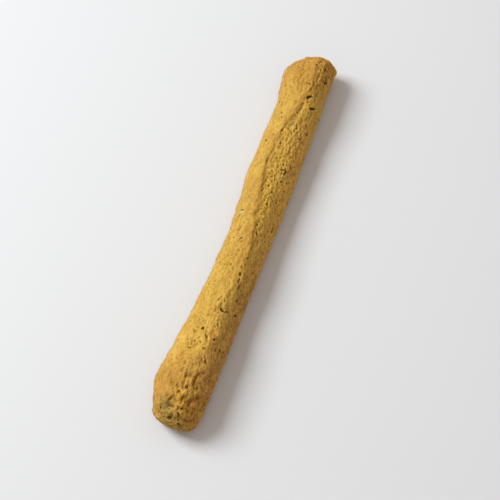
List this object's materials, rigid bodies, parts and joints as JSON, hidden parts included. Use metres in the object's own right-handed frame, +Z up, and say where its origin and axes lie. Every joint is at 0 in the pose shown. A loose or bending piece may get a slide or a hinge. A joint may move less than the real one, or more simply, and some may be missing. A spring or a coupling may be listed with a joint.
{
  "type": "breadstick",
  "caption": "Thick straight herb breadstick with a domed golden crust, a soft fold along its top, one slanted end, one rough torn end and a flat base to rest on.",
  "frame": {"origin": "under the middle of the stick's box, on the surface that it rests on", "axes": "+X along the stick towards its slanted end, -X towards its thick torn end, +Z up from the flat base to the domed crust, and +Y towards its smooth golden shoulder"},
  "size_m": [0.1834, 0.023, 0.0186],
  "materials": {
    "crust": "matt, golden-yellow baked crust with brown sides and green-black herb flecks"
  },
  "bodies": {
    "root": {"breadstick": "crust"}
  },
  "joints": []
}
